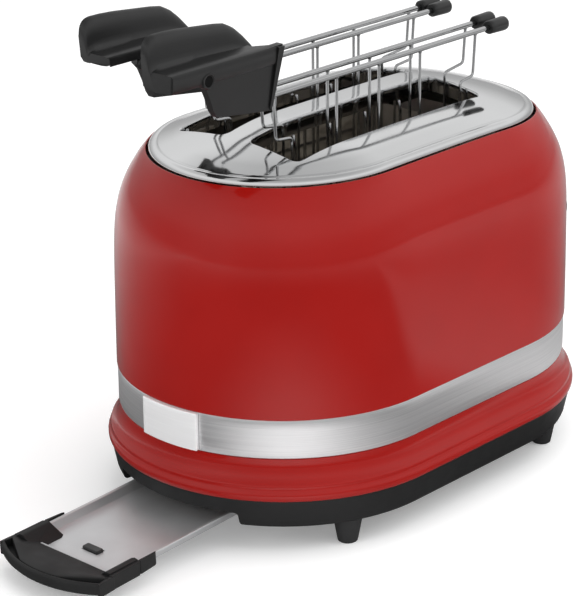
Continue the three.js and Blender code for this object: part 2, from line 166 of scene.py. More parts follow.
def brushed_steel():
    look = Look("brushed_steel", (0.80, 0.80, 0.81), 0.34, 0.86)
    streaks = look.noise(1.0, (14, 14, 2600), detail=4, rough=0.65)
    look.tint(streaks, (0.72, 0.72, 0.73), (0.90, 0.90, 0.905))
    look.rough(streaks, 0.28, 0.44)
    look.bump((streaks, 0.12, 0.02))
    return look.brushed_round_z(0.55).mat


def polished_steel():
    look = Look("polished_plate", (0.80, 0.805, 0.81), 0.07, 1.0)
    look.rough(look.noise(35, detail=4), 0.055, 0.10)
    return look.bump((look.noise(9, detail=1), 0.03, 0.3)).mat


def satin_steel():
    look = Look("name_plate", (0.95, 0.95, 0.955), 0.36, 0.35)
    grain = look.noise(1.0, (30, 30, 900), detail=3)
    look.tint(grain, (0.93, 0.93, 0.935), (0.97, 0.97, 0.975))
    look.rough(grain, 0.30, 0.42)
    return look.bump((look.noise(800), 0.08, 0.02)).mat


def chrome():
    look = Look("chrome_wire", (0.56, 0.565, 0.57), 0.12, 1.0)
    look.rough(look.noise(180), 0.08, 0.18)
    return look.bump((look.noise(420, detail=2), 0.08, 0.05)).mat


def black_plastic(name, shade, rough, shine):
    def grey(factor):
        return (shade * factor, shade * factor, shade * factor * 1.02)

    look = Look(name, grey(1), rough).set(Specular_IOR_Level=shine)
    look.tint(look.noise(40), grey(0.9), grey(1.12))
    look.rough(look.noise(90), rough - 0.05, rough + 0.07)
    return look.bump((look.noise(2300, detail=2), 0.22, 0.03), (look.noise(30, detail=1), 0.05, 0.3)).mat


def galvanised():
    look = Look("tray_steel", (0.70, 0.705, 0.715), 0.40, 0.75)
    look.tint(look.noise(26, detail=4), (0.64, 0.645, 0.655), (0.76, 0.765, 0.775))
    look.rough(look.noise(60), 0.34, 0.46)
    return look.bump((look.noise(240, detail=2), 0.10, 0.03)).mat


def chamber_steel():
    look = Look("chamber_steel", (0.62, 0.57, 0.51), 0.40, 0.85)
    look.tint(look.noise(16, detail=5), (0.58, 0.52, 0.46), (0.78, 0.72, 0.65))
    look.rough(look.noise(45), 0.34, 0.55)
    return look.bump((look.noise(700), 0.15, 0.04)).mat


def plain_steel():
    look = Look("plain_steel", (0.52, 0.53, 0.54), 0.34, 1.0)
    look.tint(look.noise(50, detail=4), (0.46, 0.46, 0.47), (0.58, 0.585, 0.59))
    look.rough(look.noise(120), 0.27, 0.42)
    return look.bump((look.noise(900), 0.12, 0.03)).mat


def mica():
    look = Look("mica", (0.12, 0.10, 0.075), 0.6)
    look.tint(look.noise(70, (1, 1, 3), detail=6), (0.17, 0.145, 0.115), (0.36, 0.32, 0.26))
    look.rough(look.noise(120), 0.32, 0.60)
    return look.bump((look.noise(260, detail=4), 0.3, 0.08)).mat


def circuit_board():
    look = Look("circuit_board", (0.03, 0.16, 0.07), 0.4)
    look.tint(look.cells(260), (0.02, 0.12, 0.05), (0.04, 0.19, 0.09), 0.2, 0.8)
    return look.bump((look.noise(500), 0.2, 0.05)).mat


def copper_winding():
    look = Look("copper_winding", (0.50, 0.20, 0.08), 0.32, 1.0)
    turns = look.noise(1.0, (30, 30, 1800), detail=1)
    look.tint(turns, (0.34, 0.12, 0.04), (0.60, 0.27, 0.12))
    return look.bump((turns, 0.5, 0.2)).mat


def hot_wire():
    look = Look("heating_ribbon", (0.30, 0.29, 0.28), 0.5, 1.0)
    look.tint(look.noise(130), (0.20, 0.19, 0.18), (0.38, 0.36, 0.34))
    return look.bump((look.noise(900), 0.2, 0.03)).mat


RED = red_paint()
BRUSHED = brushed_steel()
POLISHED = polished_steel()
SATIN = satin_steel()
CHROME = chrome()
BLACK = black_plastic("black_plastic", 0.007, 0.33, 0.62)
BASE_BLACK = black_plastic("base_plastic", 0.012, 0.5, 0.30)
# Near-black for the discs in the tongs' eye rings: painted shade of the holes' depth.
HOLE_SHADE_BLACK = black_plastic("painted_hole_shade", 0.003, 0.8, 0.2)
RUBBER = black_plastic("foot_rubber", 0.024, 0.6, 0.35)
TRAY_STEEL = galvanised()
CHAMBER = chamber_steel()
STEEL = plain_steel()
MICA = mica()
BOARD = circuit_board()
COPPER = copper_winding()
RIBBON = hot_wire()


# ---- shape helpers ----
def bend(a, b, c, d, t):
    """A Catmull-Rom curve's way from b (t = 0) to c (t = 1)."""
    square, cube = 2 * a - 5 * b + 4 * c - d, 3 * b - a - 3 * c + d
    return b + ((c - a) * t + square * t ** 2 + cube * t ** 3) / 2


def refine(points, parts):
    """A smooth curve through points, with each span split into parts."""
    out = []
    last = len(points) - 1
    for i in range(last):
        p0, p1, p2, p3 = (points[max(i - 1, 0)], points[i], points[i + 1], points[min(i + 2, last)])
        out += [tuple(bend(*four, k / parts) for four in zip(p0, p1, p2, p3)) for k in range(parts)]
    return out + [tuple(points[last])]


def offset_line(points, depth):
    """The same line moved to its inner side by depth."""
    out = []
    for i, p in enumerate(points):
        a, b = points[max(i - 1, 0)], points[min(i + 1, len(points) - 1)]
        dr, dz = b[0] - a[0], b[1] - a[1]
        size = math.hypot(dr, dz) or 1
        out.append((p[0] - dz / size * depth, p[1] + dr / size * depth))
    return out


def columns(arc, straight):
    """Columns round the oval as (middle x, direction x, direction y)."""
    out = []
    for side in (1, -1):
        middle = side * HALF_STRAIGHT
        for i in range(arc + 1):
            a = side * -math.pi / 2 + math.pi * i / arc
            out.append((middle, math.cos(a), math.sin(a)))
        out += [(middle - 2 * middle * i / straight, 0, side) for i in range(1, straight)]
    return out


def skin(bm, rows, wrap_rows, wrap_points):
    """Quads between equal rows of points."""
    verts = [[bm.verts.new(p) for p in row] for row in rows]
    n = len(rows)
    m = len(rows[0])
    for i in range(n if wrap_rows else n - 1):
        for j in range(m if wrap_points else m - 1):
            a, b = verts[i], verts[(i + 1) % n]
            k = (j + 1) % m
            bm.faces.new((a[j], b[j], b[k], a[k]))
    return verts


def loft(bm, rings):
    """A solid through equal closed rings, shut at both ends."""
    verts = skin(bm, rings, False, True)
    bm.faces.new(list(reversed(verts[0])))
    bm.faces.new(verts[-1])


def oval_sweep(bm, profile, loop=True, arc=44, straight=32):
    """A (radius, height) profile drawn round the case's oval; loop joins its two ends."""
    rows = [[(cx + r * dx, r * dy, z) for r, z in profile] for cx, dx, dy in columns(arc, straight)]
    return skin(bm, rows, True, loop)


def turned(bm, profile, origin, axis, sides=32, ribs=0, rib_depth=0.0):
    """A lathe of (radius, distance) points about an axis; ribs makes the widest part fluted."""
    axis = Vector(axis).normalized()
    side = axis.orthogonal().normalized()
    up = axis.cross(side)
    widest = max(r for r, _ in profile)
    rows = []
    for i in range(sides):
        a = 2 * math.pi * i / sides
        row = []
        for r, t in profile:
            if ribs and r > widest * 0.9:
                r -= rib_depth * (0.5 - 0.5 * math.cos(a * ribs))
            row.append(Vector(origin) + axis * t + (side * math.cos(a) + up * math.sin(a)) * r)
        rows.append(row)
    return skin(bm, rows, True, False)


def fillet(points, radius, steps=5):
    """Rounds the corners of a chain of points."""
    pts = [Vector(p) for p in points]
    out = [pts[0]]
    for a, b, c in zip(pts, pts[1:], pts[2:]):
        ab, cb = (a - b), (c - b)
        reach = min(radius, ab.length * 0.49, cb.length * 0.49)
        p, q = b + ab.normalized() * reach, b + cb.normalized() * reach
        for k in range(steps + 1):
            t = k / steps
            out.append(p * (1 - t) ** 2 + b * 2 * t * (1 - t) + q * t * t)
    out.append(pts[-1])
    return out


def tube(bm, path, radius, sides=12):
    """A round wire with rounded ends along a chain of points."""
    path = [Vector(p) for p in path]
    side = (path[1] - path[0]).normalized().orthogonal().normalized()
    rows = []
    for i, p in enumerate(path):
        along = (path[min(i + 1, len(path) - 1)] - path[max(i - 1, 0)]).normalized()
        side = (side - along * side.dot(along)).normalized()
        rows.append((p, along, side, along.cross(side), radius))
    caps = [(math.sin(t) * radius, math.cos(t) * radius) for t in map(math.radians, (80, 50, 25))]
    first, last = rows[0], rows[-1]
    head = [(first[0] - first[1] * push, *first[1:4], r) for push, r in caps]
    tail = [(last[0] + last[1] * push, *last[1:4], r) for push, r in reversed(caps)]
    turns = [(math.cos(2 * math.pi * k / sides), math.sin(2 * math.pi * k / sides)) for k in range(sides)]
    loft(bm, [[p + (s * c + u * n) * r for c, n in turns] for p, _, s, u, r in head + rows + tail])


def rounded(w0, w1, h0, h1, radius, steps=6):
    """Outline of a rectangle with round corners, anticlockwise."""
    out = []
    for cx, cy, start in ((w1 - radius, h0 + radius, -90), (w1 - radius, h1 - radius, 0),
                          (w0 + radius, h1 - radius, 90), (w0 + radius, h0 + radius, 180)):
        for k in range(steps + 1):
            a = math.radians(start + 90 * k / steps)
            out.append((cx + radius * math.cos(a), cy + radius * math.sin(a)))
    return out


def side_counts(outline, pitch):
    """How many parts each side of a closed outline is cut into."""
    return [max(1, round(math.dist(p, q) / pitch)) for p, q in zip(outline, outline[1:] + outline[:1])]


def split(outline, counts):
    """A closed outline with each side cut into its count of parts."""
    out = []
    for (u0, v0), (u1, v1), cuts in zip(outline, outline[1:] + outline[:1], counts):
        out += [(u0 + (u1 - u0) * k / cuts, v0 + (v1 - v0) * k / cuts) for k in range(cuts)]
    return out


def prism(bm, outline, low, high, place):
    """An outline drawn out between two depths; place turns (u, v, depth) into a point."""
    loft(bm, [[place(u, v, depth) for u, v in outline] for depth in (low, high)])


def moved(outline, du, dv):
    return [(u + du, v + dv) for u, v in outline]


def rod(r0, low, high):
    """Profile of a plain rod between two distances along its axis."""
    return [(0, low), (r0, low), (r0, high), (0, high)]


def flat_z(u, v, depth):
    return (u, v, depth)


def along_x(u, v, depth):
    return (depth, u, v)


def along_y(u, v, depth):
    return (u, depth, v)


def in_tray(x, y, z):
    """A point of the tray's own frame, which droops from its pivot."""
    c, s = math.cos(TRAY_TILT), math.sin(TRAY_TILT)
    return (TRAY_PIVOT[0] + x * c - z * s, y, TRAY_PIVOT[2] + x * s + z * c)


def block(bm, x0, x1, y0, y1, z0, z1):
    prism(bm, [(x0, y0), (x1, y0), (x1, y1), (x0, y1)], z0, z1, flat_z)


def drawn(shape, *settings, **more):
    """A new mesh with one shape in it."""
    bm = bmesh.new()
    shape(bm, *settings, **more)
    return bm


def shade(mesh, degrees):
    mesh.shade_smooth()
    mesh.set_sharp_from_angle(angle=math.radians(degrees))


def raw(name, bm, merge=1e-4):
    """Turns a mesh drawn in mm into an object in the row frame."""
    bmesh.ops.remove_doubles(bm, verts=bm.verts, dist=merge)
    bmesh.ops.dissolve_degenerate(bm, edges=bm.edges, dist=1e-5)
    bmesh.ops.recalc_face_normals(bm, faces=bm.faces)
    for v in bm.verts:
        v.co = at(*v.co)
    mesh = bpy.data.meshes.new(name)
    bm.to_mesh(mesh)
    bm.free()
    return show(bpy.data.objects.new(name, mesh))


def carve(obj, *tools):
    """Takes the tool solids away from obj and removes them from the scene."""
    for tool in tools:
        mod = obj.modifiers.new("carve", "BOOLEAN")
        mod.operation = "DIFFERENCE"
        mod.solver = "EXACT"
        mod.object = tool
    bpy.context.view_layer.update()
    graph = bpy.context.evaluated_depsgraph_get()
    mesh = bpy.data.meshes.new_from_object(obj.evaluated_get(graph))
    obj.modifiers.clear()
    bm = bmesh.new()
    bm.from_mesh(mesh)
    bmesh.ops.remove_doubles(bm, verts=bm.verts, dist=0.02 * MM)
    bmesh.ops.dissolve_degenerate(bm, edges=bm.edges, dist=0.01 * MM)
    bm.to_mesh(mesh)
    bm.free()
    obj.data = mesh
    for tool in tools:
        bpy.data.objects.remove(tool)
    return obj


def dress(obj, material, body, nodes=(), smooth=35, bevel=0.0):
    """Gives a piece its finish and says what it rides on and which CAD nodes it stands for."""
    obj.data.materials.clear()
    obj.data.materials.append(material)
    for poly in obj.data.polygons:
        poly.material_index = 0
    shade(obj.data, smooth)
    if bevel:
        mod = obj.modifiers.new("edge", "BEVEL")
        mod.width = bevel * MM
        mod.segments = 3
        mod.limit_method = "ANGLE"
        mod.angle_limit = math.radians(40)
        mod.harden_normals = True
    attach(obj, body)
    if nodes:
        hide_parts(*nodes)
    return obj


def piece(name, bm, material, body, nodes=(), smooth=35, bevel=0.0):
    return dress(raw(name, bm), material, body, nodes, smooth, bevel)


# ---- case ----
SHELL_LINE = [
    (90.2, 73.9), (90.1, 92), (89.9, 112), (89.6, 132), (89.1, 145), (88.1, 155.5), (86.5, 163.5),
    (84.2, 171), (81.2, 177.5), (78.1, 182.8), (74.9, 187.5), (71.8, 191.2),
]
SKIRT_LINE = [
    (95.2, 31.4), (95.9, 32.8), (95.8, 34.9), (95, 36.4), (94.5, 37.6), (94.3, 39.2), (93, 40.7),
    (91.4, 43), (90.3, 46), (89.7, 49.2), (89.6, 52.1),
]
PANEL_LINE = [(92.4, 81), (92.3, 112), (92.0, 132), (91.3, 146), (90.3, 156)]
SHELL_MOUTH = (72.5, 190.3)  # the shell's top edge turns in here, round the plate
SHELL_SHEET, LINER_DEPTHS = 1.2, (1.35, 1.7)  # thickness of the shell, and the liner's two faces inside it
BAND_FACE, BAND_BACK = 89.7, 88.3
BUTTON_Y, BUTTON_Z = 23, (140, 124, 108)
BUTTON_HOLE, SHAFT_HOLE = 6.0, 3.6
KNOB_Y, KNOB_Z = -24, 112
LEVER_Z = 143
END_FACE = 120  # the cutters of the control end start at this X
DIAL_RADIUS, DIAL_TURN, DIAL_MARKS = 16.5, 270, 9


def sag(x, z):
    """How far the top of the case drops towards its ends."""
    lift = min(max((z - 140) / 50, 0.0), 1.0)
    return (4.2 if x > 0 else 1.3) * min(abs(x) / 115, 1.1) ** 2.5 * lift * lift * (3 - 2 * lift)


def settle(bm):
    """Lets a mesh that was drawn level follow the sagging top."""
    for v in bm.verts:
        v.co.z -= sag(v.co.x, v.co.z)


def value_at(line, where):
    """Second value of a line at a first value. Past an end of the line it is the end's."""
    for (a0, b0), (a1, b1) in zip(line, line[1:]):
        if a0 <= where <= a1:
            return b0 + (b1 - b0) * (where - a0) / (a1 - a0)
    return line[-1][1] if where > line[-1][0] else line[0][1]


def radius_at(line, height):
    """Radius of a (radius, height) line at a height."""
    return value_at([(z, r) for r, z in line], height)


def control_cutters(extra):
    """Solids that open the lever slot, the button holes and the knob's shaft hole."""
    def hole(y, z, radius, sides):
        return raw("hole", drawn(turned, rod(radius, 0, 30), (END_FACE, y, z), (1, 0, 0), sides))

    slot = raw("slot", drawn(prism, rounded(-3.4, 3.4, 95, 153, 3.2), END_FACE, 150, along_x))
    buttons = [hole(BUTTON_Y, z, BUTTON_HOLE + extra, 40) for z in BUTTON_Z]
    return [slot, *buttons, hole(KNOB_Y, KNOB_Z, SHAFT_HOLE, 32)]


def shell_line(parts):
    return refine(SHELL_LINE[:-1] + [SHELL_MOUTH], parts)


def build_shell():
    outer = shell_line(4)
    inner = offset_line(outer, SHELL_SHEET)
    roll = [(72.0, 190.75), (71.6, 190.8), (71.3, 190.4)]
    foot = [(89.3, 73.6), (89.6, 73.45), (90.0, 73.6)]
    bm = drawn(oval_sweep, outer + roll + list(reversed(inner))[1:] + foot)
    settle(bm)
    shell = carve(raw("red_case", bm), *control_cutters(0))
    dress(shell, RED, "case", ["outer_shell"], smooth=30)


def build_liner():
    """The bare steel on the inside of the painted case."""
    line = [p for p in shell_line(2) if 75 < p[1] < 188.5]
    near, deep = LINER_DEPTHS
    bm = drawn(oval_sweep, offset_line(line, near) + list(reversed(offset_line(line, deep))))
    settle(bm)
    liner = carve(raw("case_liner", bm), *control_cutters(0.3))
    dress(liner, CHAMBER, "case", smooth=30)


def build_skirt():
    inner = [(88.3, 52.1), (88.3, 48.5), (90, 43), (92.9, 37.6), (93.9, 31.4), (94.6, 31.0)]
    bm = drawn(oval_sweep, refine(SKIRT_LINE, 4) + [(89.2, 52.35)] + inner)
    piece("red_skirt", bm, RED, "case", ["lower_skirt"], smooth=40)


def build_band():
    low, high = 53.0, 73.0
    face = [(BAND_FACE, low + (high - low) * k / 4) for k in range(5)]
    line = [(89.3, low - 0.5), (89.6, low - 0.35), *face, (89.6, high + 0.35), (89.3, high + 0.5),
            (BAND_BACK, high + 0.5), (BAND_BACK, low - 0.5)]
    piece("steel_belt", drawn(oval_sweep, line), BRUSHED, "case", ["steel_band"], smooth=50)


def patch(bm, side, line, layers, z0, z1, half_width, corner, rings=8, shift=0.0):
    """A rounded plate that lies on the oval's round end. layers are (inset, height above the line)."""
    middle_z = (z0 + z1) / 2
    counts = None
    rows = []

    def on_case(s, z, height):
        r = radius_at(line, z)
        a = (s + shift) / r
        return (side * (HALF_STRAIGHT + (r + height) * math.cos(a)), (r + height) * math.sin(a), z)

    def shrunk(outline, factor):
        return [(u * factor, middle_z + (v - middle_z) * factor) for u, v in outline]

    for inset, height in layers:
        wide = half_width - inset
        edge = rounded(-wide, wide, z0 + inset, z1 - inset, max(corner - inset, 0.2))
        counts = counts or side_counts(edge, 2.5)
        rows.append((split(edge, counts), height))
    last, top = rows[-1]
    rows += [(shrunk(last, 1 - k / rings), top) for k in range(1, rings + 1)]
    first, base = rows[0]
    under = [(shrunk(first, factor), base) for factor in (0.0, 0.33, 0.66)]
    skin(bm, [[on_case(u, v, height) for u, v in row] for row, height in under + rows], False, True)


def build_name_plate():
    line = [(BAND_FACE, 50), (BAND_FACE, 80)]
    layers = [(0, 0.25), (0, 2.0), (0.08, 2.2), (0.3, 2.3)]
    bm = drawn(patch, -1, line, layers, 52.9, 73.3, 18.4, 0.5, shift=-1.9)
    piece("badge_blank", bm, SATIN, "case", ["name_plate"], smooth=50)


def build_panel():
    layers = [(0, -1.8), (0, -0.5), (0.2, -0.15), (0.6, 0)]
    bm = drawn(patch, 1, PANEL_LINE, layers, PANEL_LINE[0][1], PANEL_LINE[-1][1], 39, 7, rings=14)
    panel = carve(raw("panel", bm), *control_cutters(0.1))
    dress(panel, BRUSHED, "case", ["control_panel"], smooth=40)
    marks = bmesh.new()
    for k in range(DIAL_MARKS):
        a = math.radians(DIAL_TURN * (k / (DIAL_MARKS - 1) - 0.5))
        size = 0.5 + 0.09 * k
        y, z = KNOB_Y + DIAL_RADIUS * math.sin(a), KNOB_Z + DIAL_RADIUS * math.cos(a)
        x = HALF_STRAIGHT + math.sqrt(radius_at(PANEL_LINE, z) ** 2 - y * y)
        dot = [(0, -0.4), (size, -0.4), (size, 0.12), (size * 0.7, 0.25), (0, 0.25)]
        turned(marks, dot, (x, y, z), (1, 0, 0), 12)
    piece("browning_marks", marks, BLACK, "case", smooth=50)


# The plate's dome is a line of radius against height, ending in a crease and a rolled rim.
DOME_LINE = [(0, 206.1), (9, 206.0), (18, 205.3), (32, 203.2), (44, 200.7), (54, 198.3), (60, 196.4),
             (65.0, 194.7)]
RIM_LINE = [(65.4, 194.45), (65.65, 194.2), (66.0, 194.3), (66.8, 194.4), (67.8, 194.2), (68.7, 193.7),
            (69.5, 192.9), (70.0, 191.9), (70.15, 191.2), (70.0, 190.8), (69.5, 190.7)]
DOME = refine(DOME_LINE, 5)
PLATE_SHEET = 1.2
SLOT_X, SLOT_Y = (-84, 62), (8, 42)  # ends and sides of a bread slot
SLOT_LIP = 0.8  # width of the round lip along a slot's edge


def dome_height(x, y):
    """Height of the plate's top at a point."""
    z = value_at(DOME, math.hypot(max(abs(x) - HALF_STRAIGHT, 0), y))
    return z - sag(x, z)


def slot_outline(side, grow=0.0):
    y0, y1 = sorted(side * y for y in SLOT_Y)
    return rounded(SLOT_X[0] - grow, SLOT_X[1] + grow, y0 - grow, y1 + grow, 4.5 + grow, 8)


def build_top_plate():
    under = [(69.0, 191.0), (69.0, 192.2), (68.2, 193.8), (67, 193.9), (65.3, 192.9), (61, 195.0)]
    under += [(r, z - PLATE_SHEET) for r, z in reversed(DOME_LINE[:-2])]
    bm = drawn(oval_sweep, DOME + refine(RIM_LINE, 3) + under, loop=False, arc=48, straight=36)
    settle(bm)
    tools = [raw("slot", drawn(prism, slot_outline(side, SLOT_LIP), 180, 220, flat_z)) for side in (-1, 1)]
    plate = carve(raw("polished_plate", bm, merge=2e-3), *tools)
    dress(plate, POLISHED, "case", ["top_plate"], smooth=28)
    for side, word in ((-1, "near"), (1, "far")):
        build_slot_edge(side, word)


def build_slot_edge(side, word):
    """The plate's sheet rolls down round a bread slot: (way out from the slot, height over the plate)."""
    section = [(SLOT_LIP, 0.0), (0.55, -0.03), (0.3, -0.13), (0.1, -0.35), (0.0, -0.7), (0.0, -4.0),
               (0.0, -8.5), (0.8, -8.5), (0.8, -1.2), (0.9, -1.1)]
    base = slot_outline(side)
    line = split(base, side_counts(base, 3))
    rows = []
    for i, (u, v) in enumerate(line):
        a, b = line[i - 1], line[(i + 1) % len(line)]
        size = math.dist(a, b)
        du, dv = (b[1] - a[1]) / size, (a[0] - b[0]) / size
        height = dome_height(u + du * SLOT_LIP, v + dv * SLOT_LIP)
        rows.append([(u + du * out, v + dv * out, height + z) for out, z in section])
    edge = drawn(skin, rows, True, True)
    piece(f"slot_edge_{word}", edge, POLISHED, "case", smooth=60)


FOOT_X, FOOT_Y = 82.4, 73.5
INLET_Z = 23
SCREWS = ((-70, -58), (70, -58), (-70, 58), (70, 58), (112, 0))


def build_gasket():
    ring = [(67, 181.4), (71.4, 181.4), (71.8, 181.9), (71.8, 184.4), (71.4, 184.9), (67, 184.9),
            (66.5, 184.4), (66.5, 181.9)]
    bm = drawn(oval_sweep, ring)
    settle(bm)
    piece("gasket", bm, BASE_BLACK, "case", ["top_gasket"])


def build_base():
    outer = [(0, 14.9), (60, 14.9), (88.6, 14.9), (90.2, 15.15), (91.3, 16.0), (92.0, 17.6), (93.2, 23.5),
             (94.4, 29.3), (94.7, 30.6), (94.6, 31.0), (92.9, 31.0), (91.3, 23.5), (90.2, 18.0), (89.0, 17.0),
             (60, 16.9), (0, 16.9)]
    mouth = raw("mouth", drawn(prism, rounded(-42, 42, 5, 22.7, 2.0), -160, -84, along_x))
    well = raw("well", drawn(prism, rounded(-85.5, 64, -37, 37, 2.5), 10, 22.5, flat_z))
    cord = raw("cord", drawn(turned, rod(5.4, 0, 20), (130, 0, INLET_Z), (1, 0, 0), 32))
    base = carve(raw("base_tub", drawn(oval_sweep, outer, loop=False), merge=2e-3), mouth, well, cord)
    dress(base, BASE_BLACK, "case", ["base_plate"], smooth=30)
    head = [(0, 0.6), (1.1, 0.6), (1.3, -0.2), (3.0, -0.3), (3.5, 0.15), (3.5, 0.9), (0, 0.9)]
    screws = bmesh.new()
    for x, y in SCREWS:
        turned(screws, head, (x, y, 14.5), (0, 0, 1), 20)
    piece("base_screws", screws, STEEL, "case", smooth=40)


def build_feet():
    profile = [(0, 0.6), (3.2, 0.6), (3.6, 0), (4.7, 0), (5.2, 0.4), (5.45, 1.4), (6.1, 5), (7.2, 11),
               (7.8, 14.3), (7.6, 14.5), (0, 14.5)]
    for near, sy in (("near", -1), ("far", 1)):
        for end, sx in (("left", -1), ("right", 1)):
            bm = drawn(turned, profile, (sx * FOOT_X, sy * FOOT_Y, 0), (0, 0, 1), 36)
            piece(f"foot_{near}_{end}_round", bm, RUBBER, "case", [f"foot_{near}_{end}"])


def build_inlet():
    sleeve = [(3.2, 136), (5, 136), (5, 143), (6.7, 143.2), (7, 143.6), (7, 144.8), (6.2, 145.2),
              (6.2, 145.8), (6.8, 146.1), (6.8, 146.8), (6.4, 147), (3.6, 147), (3.2, 146.6), (3.2, 136)]
    bm = drawn(turned, sleeve, (0, 0, INLET_Z), (1, 0, 0), 36)
    piece("inlet", bm, BASE_BLACK, "case", ["cord_inlet"], smooth=45)


# ---- inside ----
# Each heater's mica board: name, middle plane, and the way its ribbon faces.
BOARDS = (("near_outer", -46, 1), ("near_inner", -4, -1), ("far_inner", 4, 1), ("far_outer", 46, -1))
RIBBON_TURNS, RIBBON_RISE = 11, 0.94
# Each wire guard: name, middle plane, and the way its wires bend at the top.
GUARDS = (("near_outer", -39.5, -1), ("near_inner", -9.2, 1), ("far_inner", 9.2, -1), ("far_outer", 39.5, 1))
GUARD_WIRES, GUARD_STEP = 5, 28
RACK_BARS, RACK_STEP = 5, 30


def build_heaters():
    """Heating ribbon wound over each mica board; the boards themselves stay as packed."""
    for word, y, side in BOARDS:
        bm = bmesh.new()
        face = y + side * 1.0
        for k in range(RIBBON_TURNS):
            z = 72 + 9.4 * k
            far_z = z + (RIBBON_RISE if k % 2 else -RIBBON_RISE)
            ribbon = [(-82, z - 0.7), (60, far_z - 0.7), (60, far_z + 0.7), (-82, z + 0.7)]
            prism(bm, ribbon, face - 0.12, face + 0.12, along_y)
        piece(f"ribbon_{word}", bm, RIBBON, "case")


def build_guards():
    for word, y, lean in GUARDS:
        bm = bmesh.new()
        for i in range(GUARD_WIRES):
            x = -78 + GUARD_STEP * i
            tube(bm, fillet([(x, y, 60), (x, y, 191), (x, y + lean * 0.9, 196.3)], 3), 0.95, 10)
        for z in (66, 150):
            tube(bm, [(x, y, z) for x in (-84, -40, 10, 58)], 0.85, 10)
        piece(f"guard_wires_{word}", bm, CHROME, "case", [f"guard_{word}"], smooth=60)


def build_racks():
    saddle = [(-8, 106.4), (8, 106.4), (8, 111.8), (6.4, 111.8), (5.2, 109.4), (-5.2, 109.4), (-6.4, 111.8),
              (-8, 111.8)]
    for word, y in (("near", -25), ("far", 25)):
        bm = bmesh.new()
        prism(bm, [(-82, 104), (76.6, 104), (76.6, 110), (-82, 110)], y - 1.1, y + 1.1, along_y)
        for i in range(RACK_BARS):
            x = -70.5 + RACK_STEP * i
            prism(bm, moved(saddle, y, 0), x - 1.3, x + 1.3, along_x)
        piece(f"rack_{word}", bm, STEEL, "carriage", [f"bread_rack_{word}"], bevel=0.35)


# ---- controls ----
def build_lever():
    """The lever's pad, as rings of (x, how far the ring grows)."""
    rings = [(144.6, -1.2), (145.2, -0.3), (146.5, 0), (150, -0.5), (154, -0.9), (158, -0.5), (160.4, -0.2),
             (161.5, -0.9), (162, -2.4)]
    outlines = [(x, rounded(-9.5 - grow, 9.5 + grow, -8 - grow, 8 + grow, 3.6)) for x, grow in rings]
    bm = drawn(loft, [[(x, u, v + LEVER_Z) for u, v in outline] for x, outline in outlines])
    piece("lever_grip", bm, BLACK, "carriage", ["lever_knob"], smooth=50)


def build_knob():
    body = [(0, 142), (11.4, 142), (12, 142.5), (12, 144.2), (11.2, 144.8), (11.2, 152.4), (10.8, 153.6),
            (9.6, 154.2), (0, 154.4)]
    bm = bmesh.new()
    turned(bm, body, (0, KNOB_Y, KNOB_Z), (1, 0, 0), 144, ribs=24, rib_depth=0.55)
    turned(bm, rod(3, 115, 142.4), (0, KNOB_Y, KNOB_Z), (1, 0, 0), 24)
    piece("knob_body", bm, BLACK, "browning_knob", ["browning_knob"], smooth=40)
    mark = drawn(prism, moved(rounded(-1.6, 1.6, -9, 9, 1.4, 4), KNOB_Y, KNOB_Z), 153.2, 156.8, along_x)
    piece("knob_pointer", mark, BLACK, "browning_knob", bevel=0.5)


def build_buttons():
    cap = [(0, 130), (5.5, 130), (5.5, 141), (5.2, 141.7), (4.4, 142), (3.2, 141.85), (0, 141.6)]
    for name, z in zip(("cancel", "defrost", "reheat"), BUTTON_Z):
        bm = bmesh.new()
        turned(bm, cap, (0, BUTTON_Y, z), (1, 0, 0), 36)
        turned(bm, rod(2, 112, 130.5), (0, BUTTON_Y, z), (1, 0, 0), 20)
        piece(f"{name}_cap", bm, BLACK, f"{name}_button", [f"{name}_button"], smooth=40)


# ---- crumb tray ----
TRAY_X0, TRAY_X1, TRAY_HALF = -74.0, 103.0, 33.0  # ends and half width of the pan, in the tray's own frame
TRAY_WALL, TRAY_FRONT_TOP = 2.6, -3.0  # the front wall is lower than the sides
HOOK_X, HOOK_HALF = (-61.6, -55.8), 5.8  # the hole that the handle's clip looks through


def build_tray():
    """The pan, as rings of (inset, height) from under the floor, over the rim and down to the floor."""
    under = [(8.0, -5.5), (3.5, -5.5), (2.3, -5.0), (1.9, -4.2), (1.6, -1.2), (1.2, -0.9)]
    over = [(0.0, -0.9), (0.0, -0.2), (0.15, 0.0), (1.5, 0.0), (2.0, -0.25), (2.3, -0.9), (2.7, -3.9),
            (3.1, -4.5), (3.9, -4.75), (8.0, -4.75)]
    rings = []
    for inset, z in under + over:
        wide = TRAY_HALF - inset
        ring = []
        for x, y in rounded(TRAY_X0 + inset, TRAY_X1 - inset, -wide, wide, 5.0 - min(inset, 4), 5):
            ring.append(in_tray(x, y, min(z, TRAY_FRONT_TOP) if x < TRAY_X0 + TRAY_WALL else z))
        rings.append(ring)
    hole = drawn(prism, rounded(*HOOK_X, -HOOK_HALF, HOOK_HALF, 0.8, 3), -9, 4, in_tray)
    tray = carve(raw("tray_pan", drawn(loft, rings)), raw("hook_hole", hole))
    dress(tray, TRAY_STEEL, "crumb_tray", ["crumb_tray"], smooth=35)
    clip = drawn(prism, rounded(-61.2, -56.6, -5.6, 5.6, 1.0, 4), -5.9, -3.3, in_tray)
    piece("tray_clip", clip, BLACK, "crumb_tray", bevel=0.5)


